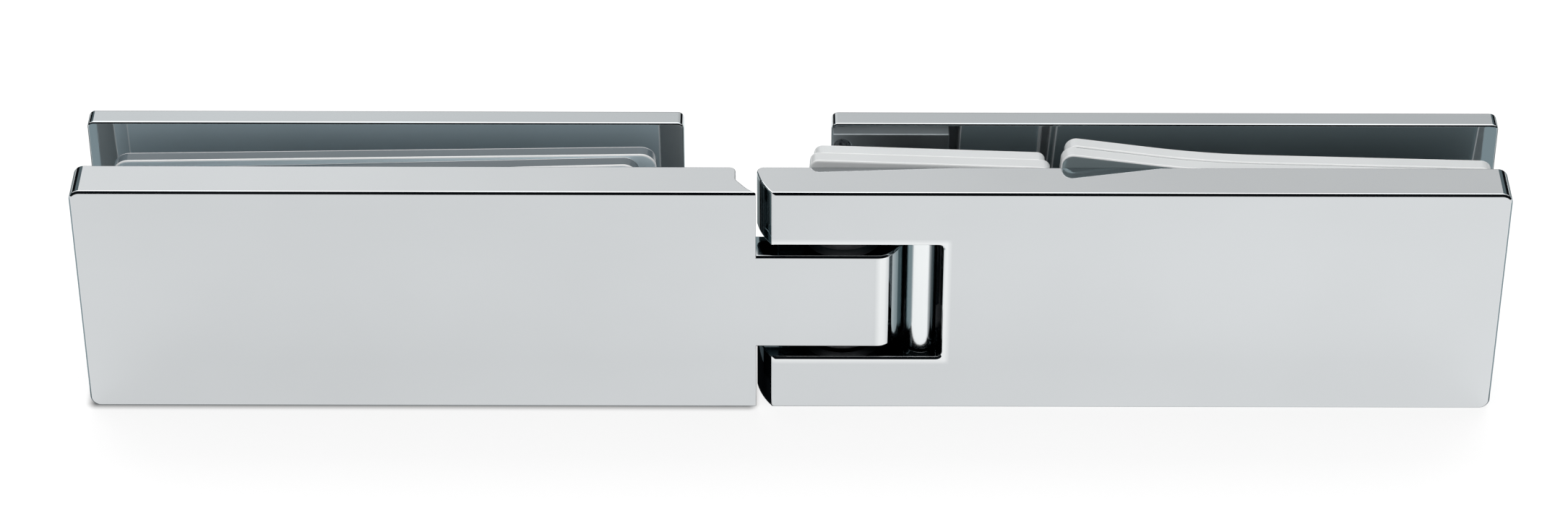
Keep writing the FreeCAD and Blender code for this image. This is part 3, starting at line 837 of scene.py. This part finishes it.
    def build(self, finish: Finish) -> bpy.types.Object:
        """Builds the screws and puts them in place of their nodes.

        Args:
            finish: the screws' finish.

        Returns:
            The piece.
        """
        plan = self.plan()
        worker = bpy.data.objects.new(self.name + "_row", bpy.data.meshes.new(self.name + "_row"))
        modifier = worker.modifiers.new("screws", "NODES")
        modifier.node_group = plan.tree
        values = {
            "Head Radius": self.head_radius, "Head Height": self.head_height,
            "Root Radius": self.shank_radius - self.crest, "Length": self.length,
            "Socket Size": self.socket, "Socket Depth": self.socket_depth, "Pitch": self.pitch,
            "Crest": self.crest, "Start": self.start, "Step": self.step, "Turn": self.turn,
            "Count": len(self.nodes), "Finish": finish.material(),
        }
        for size, value in values.items():
            modifier[plan.sizes[size]] = value
        mesh = finished_mesh(self.name, worker)
        mesh.shade_smooth()
        mesh.set_sharp_from_angle(angle=self.crease)
        return add_piece(self.name, mesh, self.side.value, self.nodes)


@dataclass
class ClampedLeaf:
    """One leaf: its polished plates, its sheets, and the screws that clamp the glass."""

    side: Side
    front_plate: str
    back_plate: str
    inlays: tuple[str, ...]
    screws: tuple[str, ...]
    sleeves: tuple[str, ...]
    notch: NotchPaintedLightAndSatin
    sheet_top: SheetLook
    sheet_face: SheetLook
    pale_sheets: tuple[str, ...] = ()
    pale_face: SheetLook = ((0.93, 0.95, 0.955), 0.15)
    # the sheets' rims are painted near white as a painted highlight
    sheet_rim_highlight: SheetLook = ((0.97, 0.98, 0.98), 0.05)
    moulded: float = 0.42 * MM
    polish: float = 0.24 * MM
    back_polish: float = 0.42 * MM
    back_segments: int = 4
    back_bevelled: float = 0.25
    # the back plates' chrome is darker than the front plates' as painted shade
    back_shaded_colour: Colour = (0.55, 0.58, 0.595)

    def clamp_screws(self) -> ThreadedScrews:
        """Describes the row of countersunk clamp screws, from the places of their CAD nodes.

        Returns:
            The row.
        """
        places = [middle_of(node) for node in self.screws]
        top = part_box(self.screws[0])[1][1]
        start = (places[0][0], top, places[0][2])
        step = (places[1][0] - places[0][0], 0.0, 0.0)
        return ThreadedScrews(
            self.side.value + "_clamp_screws", self.side, self.screws, start, step,
            head_radius=5.6 * MM, head_height=2.6 * MM, shank_radius=3.0 * MM, length=23.55 * MM,
            socket=2.0 * MM, socket_depth=2.2 * MM, pitch=1.0 * MM, crest=0.3 * MM)

    def build(self) -> None:
        """Builds the rounded plates and sheets and the screws, and dresses the sleeves."""
        body = self.side.value
        RoundedPiece(body + "_casting", self.front_plate, body, "polished_plate", self.polish).build(
            PolishedChrome("chrome_" + self.front_plate, notch=self.notch))
        RoundedPiece(body + "_clamp_plate", self.back_plate, body, "polished_plate", self.back_polish,
                     self.back_segments, self.back_bevelled).build(
            PolishedChrome("chrome_" + self.back_plate, self.back_shaded_colour))
        for node in self.inlays:
            face = self.pale_face if node in self.pale_sheets else self.sheet_face
            RoundedPiece(node + "_sheet", node, body, "clear_inlay", self.moulded).build(
                ClearInlay("clear_" + node, middle_of(node), *self.sheet_top),
                ClearInlay("rim_" + node, middle_of(node), *self.sheet_rim_highlight),
                ClearInlay("face_" + node, middle_of(node), *face))
        self.clamp_screws().build(TurnedSteel("steel_" + body + "_screws", attribute=SCREW_PLACE))
        for node in self.sleeves:
            dress(node, SleevePlastic("sleeve_" + node, middle_of(node)))


@dataclass
class KnuckleMechanism:
    """The pin, its grub screws, the bushes, and the roller on its axle."""

    upright: tuple[str, ...] = ("pivot_pin", "roller_axle")
    grub_screws: tuple[str, ...] = ("pin_grub_screw_lower", "pin_grub_screw_upper")
    bushes: tuple[str, ...] = ("knuckle_bush_upper", "knuckle_bush_lower")
    pivot: Point = (9.9 * MM, -3.65 * MM, MID_HEIGHT)
    roller: str = "guard_roller"
    roller_colour: Colour = (0.88, 0.91, 0.915)
    roller_clean: float = 0.16
    roller_wiped: float = 0.2
    soft_end: float = 0.25 * MM

    def build(self) -> None:
        """Gives every node of the mechanism its finish."""
        for node in self.upright:
            dress(node, TurnedSteel("steel_" + node, middle_of(node), Facing.UPRIGHT))
        for node in self.grub_screws:
            dress(node, TurnedSteel("steel_" + node, middle_of(node), Facing.ACROSS))
        for node in self.bushes:
            dress(node, BearingPlastic("bearing_" + node, self.pivot))
        RoundedPiece("notch_roller", self.roller, "roller", "polished_roller", self.soft_end).build(
            PolishedChrome("chrome_" + self.roller, self.roller_colour, self.roller_clean, self.roller_wiped))


@dataclass(frozen=True)
class WhiteFloor:
    """A floor that is seen white, with a painted shadow under the fixed leaf over the hinge's real shade, and that
    chrome mirrors a little darker, with painted light.
    """

    colour: Colour = (0.32, 0.32, 0.32)
    camera_glow: float = 0.81
    mirror_glow: Ends = (0.665, 0.765)
    near_glow: float = 1.16
    near_span: Ends = (-75.0 * MM, -15.0 * MM)
    shade_middle: Pair = (-70.0 * MM, 0.0)
    shade_half: Pair = (62.0 * MM, 12.4 * MM)
    shade_fade: float = 2.5 * MM

    def seen_glow(self, wires: Wires) -> Plug:
        """Gives the floor's glow for the camera, which falls away under the fixed leaf as a painted shadow.

        Args:
            wires: the floor's wires.

        Returns:
            The glow.
        """
        placed = wires.vector("SUBTRACT", wires.coordinates(), (*self.shade_middle, 0.0))
        past = wires.vector("SUBTRACT", wires.vector("ABSOLUTE", placed), (*self.shade_half, 0.0))
        away = wires.vector("LENGTH", wires.vector("MAXIMUM", past, (0.0, 0.0, 0.0)))
        glow = wires.spread(away, 0.0, self.camera_glow, 0.0, self.shade_fade)
        glow[0].interpolation_type = "SMOOTHSTEP"
        return glow

    def material(self, name: str) -> bpy.types.Material:
        """Builds the floor's material.

        Args:
            name: the material's name.

        Returns:
            The material.
        """
        material, wires, output = blank_material(name)
        seen = wires.math("MULTIPLY", wires.rays("Is Camera Ray"), self.seen_glow(wires))
        # painted light in reflections: the mirrored glow rises towards the right and near the hinge's front, where it
        # makes up for the hinge's real shade
        mirrored = wires.math("MULTIPLY", wires.across(self.mirror_glow),
                              wires.across((1.0, self.near_glow), "Y", self.near_span))
        reflected = wires.rays("Is Glossy Ray", "Is Transmission Ray")
        glow = wires.add("ShaderNodeEmission", Strength=wires.math("MULTIPLY_ADD", reflected, mirrored, seen))
        paint = wires.add("ShaderNodeBsdfDiffuse", Color=(*self.colour, 1.0))
        both = wires.add("ShaderNodeAddShader", (paint, "BSDF"), (glow, "Emission"))
        wires.feed(output, "Surface", (both, "Shader"))
        return material


@dataclass(frozen=True)
class CardShine:
    """What a card shows in the reflections."""

    colour: Colour
    levels: Ends = (1.0, 1.0)
    axis: str = "X"
    span: Ends = HINGE_SPAN

    def material(self, name: str) -> bpy.types.Material:
        """Builds the card's material.

        Args:
            name: the material's name.

        Returns:
            The material.
        """
        material, wires, output = blank_material(name)
        level = wires.across(self.levels, self.axis, self.span)
        shine = wires.add("ShaderNodeEmission", Color=(*self.colour, 1.0), Strength=level)
        wires.feed(output, "Surface", (shine, "Emission"))
        return material


BLACK = CardShine((0.004, 0.005, 0.006))
SLATE = CardShine((0.13, 0.17, 0.185))
MIST = CardShine((0.33, 0.41, 0.44))


def add_sheet(name: str, corners: Sequence[Point], finish: WhiteFloor | CardShine) -> bpy.types.Object:
    """Makes a flat studio sheet.

    Args:
        name: the name of the sheet and its material.
        corners: its four corners in order, in metres.
        finish: its finish.

    Returns:
        The sheet, marked as part of the stage.
    """
    mesh = bpy.data.meshes.new(name)
    mesh.from_pydata(list(corners), [], [(0, 1, 2, 3)])
    mesh.materials.append(finish.material(name))
    sheet = bpy.data.objects.new(name, mesh)
    bpy.context.scene.collection.objects.link(sheet)
    return sheet


def add_card(name: str, corners: Sequence[Point], shine: CardShine) -> None:
    """Stands a card that only reflections see.

    Args:
        name: the name of the card and its material.
        corners: its four corners in order, in metres.
        shine: what it shows.
    """
    card = add_sheet(name, corners, shine)
    for kind in ("camera", "diffuse", "shadow", "transmission"):
        setattr(card, "visible_" + kind, False)


def stand_card(name: str, along: Ends, depth: float, heights: Ends, shine: CardShine) -> None:
    """Stands a card upright, between two ends along the hinge and its foot and top heights."""
    (left, right), (foot, top) = along, heights
    add_card(name, ((left, depth, foot), (right, depth, foot), (right, depth, top), (left, depth, top)), shine)


def lay_card(name: str, along: Ends, across: Ends, height: float, shine: CardShine) -> None:
    """Lays a card flat at a height, between two ends along the hinge and its front and rear edges."""
    (left, right), (front, rear) = along, across
    add_card(name, ((left, front, height), (right, front, height), (right, rear, height), (left, rear, height)), shine)


def on_side(ends: Ends, sign: float) -> Ends:
    """Puts two places along the hinge on its left, for -1, or on its right, for 1."""
    return ends[0] * sign, ends[1] * sign


@dataclass
class Surround:
    """The cards that stand round the hinge, at a distance, seen only in reflections as painted reflections: dark ones
    low down and in front, and a backdrop that glows dimmer towards the right.
    """

    ring: float = 0.6
    ring_height: float = 0.29
    panel: Ends = (0.3, 1.2)
    panel_top: float = 0.9
    backdrop_half: float = 1.5
    backdrop_top: float = 1.6
    backdrop_gap: float = 0.02
    backdrop_shine: CardShine = CardShine((1.0, 1.0, 1.0), (1.0, 0.74))
    front_half: float = 1.2
    front_depths: Ends = (-0.5, -0.12)
    front_top: float = 0.62

    def build(self) -> None:
        """Leans a dark card in front, and stands low ones round the sides with the backdrop above."""
        half, top, (foot_depth, top_depth) = self.front_half, self.front_top, self.front_depths
        add_card("front_card", ((-half, foot_depth, 0.0), (half, foot_depth, 0.0), (half, top_depth, top),
                                (-half, top_depth, top)), BLACK)
        out, top = self.ring, self.ring_height
        corners = ((-out, -out), (-out, out), (out, out), (out, -out))
        for name, first, last in zip(("left", "rear", "right"), corners, corners[1:]):
            add_card(name + "_card", ((*first, 0.0), (*last, 0.0), (*last, top), (*first, top)), BLACK)
        for name, sign in (("left", -1.0), ("right", 1.0)):
            stand_card(name + "_panel", on_side(self.panel, sign), out, (top, self.panel_top), SLATE)
        stand_card("backdrop", (-self.backdrop_half, self.backdrop_half), out + self.backdrop_gap,
                   (top, self.backdrop_top), self.backdrop_shine)


@dataclass
class Underlay:
    """The cards, seen only in reflections, that lay painted shade on the floor under, behind and beside the hinge, and
    the grey fin beside each end as a painted reflection.
    """

    front: float = -13.2 * MM
    rear: float = 16.0 * MM
    height: float = 0.1 * MM
    half: float = 175.0 * MM
    gap: Ends = (-13.0 * MM, 45.0 * MM)
    gap_shade: Ends = (-13.0 * MM, 12.0 * MM)
    gap_rear: float = 80.0 * MM
    gap_height: float = 0.2 * MM
    shade_rear: float = 95.0 * MM
    shade_colour: Colour = (0.86, 0.98, 1.0)
    shade_levels: Ends = (0.16, 0.95)
    wing: Ends = (145.0 * MM, 500.0 * MM)
    wing_rear: float = 350.0 * MM
    wing_height: float = 0.15 * MM
    wing_levels: Ends = (0.16, 0.8)
    fin: Ends = (133.7 * MM, 160.0 * MM)
    fin_depth: float = -12.2 * MM
    fin_top: float = 50.0 * MM

    def build(self) -> None:
        """Lays the cards under and behind the hinge, and stands one beside each end."""
        whole, under, behind = (-self.half, self.half), (self.front, self.rear), (self.rear, self.shade_rear)
        lay_card("slot_shade_card", whole, under, self.height, SLATE)
        lay_card("gap_shadow_card", self.gap, under, self.gap_height, BLACK)
        lay_card("gap_shade", self.gap_shade, (self.rear, self.gap_rear), self.gap_height, BLACK)
        lay_card("shade_card", whole, behind, self.height,
                 CardShine(self.shade_colour, self.shade_levels, "Y", behind))
        for name, sign in (("left", -1.0), ("right", 1.0)):
            wing = on_side(self.wing, sign)
            lay_card(name + "_wing", wing, (self.front, self.wing_rear), self.wing_height,
                     CardShine(self.shade_colour, self.wing_levels, "X", wing))
            stand_card(name + "_fin", on_side(self.fin, sign), self.fin_depth, (0.0, self.fin_top), MIST)


@dataclass
class SoftLamp:
    """The rectangular lamp that hangs behind and above the hinge."""

    place: Point = (0.0, 0.44, 0.72)
    target: Point = (0.0, 0.0, MID_HEIGHT)
    sides: Pair = (1.0, 0.5)
    power: float = 3.3

    def build(self) -> None:
        """Hangs the lamp."""
        data = bpy.data.lights.new("overhead", "AREA")
        data.shape = "RECTANGLE"
        data.size, data.size_y = self.sides
        data.energy = self.power
        lamp = bpy.data.objects.new("overhead", data)
        lamp.location = self.place
        lamp.rotation_euler = (Vector(self.target) - Vector(self.place)).to_track_quat("-Z", "Y").to_euler()
        bpy.context.scene.collection.objects.link(lamp)


@dataclass
class Studio:
    """A white floor, a soft overhead lamp, and the cards that chrome needs for its dark lines."""

    reach: float = 3.0
    fill: float = 0.62
    seen: float = 1.0

    def world(self) -> None:
        """Makes the world white where it is seen and softer as light."""
        world = bpy.data.worlds.new("soft_studio")
        world.use_nodes = True
        wires = Wires(world.node_tree)
        wires.tree.nodes.clear()
        seen = wires.rays("Is Camera Ray", "Is Glossy Ray", "Is Transmission Ray")
        light = wires.add("ShaderNodeBackground", Color=(1.0, 1.0, 1.0, 1.0),
                          Strength=wires.spread(seen, self.fill, self.seen))
        wires.add("ShaderNodeOutputWorld", (light, "Background"))
        bpy.context.scene.world = world

    def build(self) -> None:
        """Builds the floor, the cards, the lamp and the world."""
        far = self.reach
        add_sheet("floor", ((-far, -far, 0.0), (far, -far, 0.0), (far, far, 0.0), (-far, far, 0.0)), WhiteFloor())
        Surround().build()
        Underlay().build()
        SoftLamp().build()
        self.world()
        LOG.info("studio: floor, cards, lamp and world")


@dataclass
class PhotoCamera:
    """The camera fitted to the photograph's frame. Its angles are in radians, its lens in millimetres."""

    aim: Point = (-1.2 * MM, -13.35 * MM, 34.375 * MM)
    distance: float = 851.4 * MM
    pitch: float = 0.6356
    roll: float = 0.0023
    lens: float = 105.1
    sensor_width: float = 36.0
    clip_start: float = 0.01

    def build(self) -> None:
        """Makes the camera and gives it to the scene."""
        data = bpy.data.cameras.new("photo_camera")
        data.lens = self.lens
        data.sensor_width = self.sensor_width
        data.clip_start = self.clip_start
        camera = bpy.data.objects.new("photo_camera", data)
        back = Vector((0.0, -math.cos(self.pitch), math.sin(self.pitch)))
        place = Matrix.Translation(Vector(self.aim) + back * self.distance)
        tilt = Matrix.Rotation(math.radians(90.0) - self.pitch, 4, "X")
        camera.matrix_world = place @ tilt @ Matrix.Rotation(self.roll, 4, "Z")
        bpy.context.scene.collection.objects.link(camera)
        bpy.context.scene.camera = camera
        LOG.info("camera: %.1f mm lens, %.3f m from the hinge", self.lens, self.distance)


def fixed_leaf() -> ClampedLeaf:
    """Describes the leaf that stays with the fixed glass.

    Returns:
        The leaf.
    """
    return ClampedLeaf(
        Side.FIXED, "fixed_knuckle_leaf", "fixed_back_plate",
        ("fixed_inlay_front", "fixed_inlay_rear"),
        ("fixed_clamp_screw_outer", "fixed_clamp_screw_inner"),
        ("fixed_screw_sleeve_outer", "fixed_screw_sleeve_inner"),
        NotchPaintedLightAndSatin(recess=(-10.5 * MM, 25.0 * MM), recess_shade_colour=(0.2, 0.26, 0.28),
                    highlight_band=(16.8 * MM, 20.0 * MM), highlight_height=10.6 * MM),
        # the dark tone of these sheets' tops is painted shade for the dark seen through the clear plastic
        sheet_top=((0.22, 0.27, 0.3), 0.45), sheet_face=((0.72, 0.85, 0.91), 0.12))


def door_leaf() -> ClampedLeaf:
    """Describes the leaf that swings with the glass door.

    Returns:
        The leaf.
    """
    return ClampedLeaf(
        Side.DOOR, "door_notched_leaf", "door_back_plate",
        ("door_inlay_inner_front", "door_inlay_inner_rear", "door_inlay_outer_front", "door_inlay_outer_rear"),
        ("door_clamp_screw_inner", "door_clamp_screw_outer"),
        ("door_screw_sleeve_inner", "door_screw_sleeve_outer"),
        NotchPaintedLightAndSatin(recess=(-6.5 * MM, 28.9 * MM), recess_shade_colour=(0.07, 0.09, 0.1),
                    highlight_band=(-5.9 * MM, 29.1 * MM), highlight_height=13.6 * MM),
        sheet_top=((0.9, 0.925, 0.93), 0.2), sheet_face=((0.62, 0.76, 0.8), 0.6),
        pale_sheets=("door_inlay_inner_front",))


def main() -> None:
    """Dresses the hinge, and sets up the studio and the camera."""
    logging.basicConfig(level=logging.INFO, format="%(name)s: %(message)s")
    for part in (fixed_leaf(), door_leaf(), KnuckleMechanism(), Studio(), PhotoCamera()):
        part.build()
    bpy.context.scene.view_settings.view_transform = "Standard"
    bpy.context.view_layer.update()


if __name__ == "__main__":
    main()
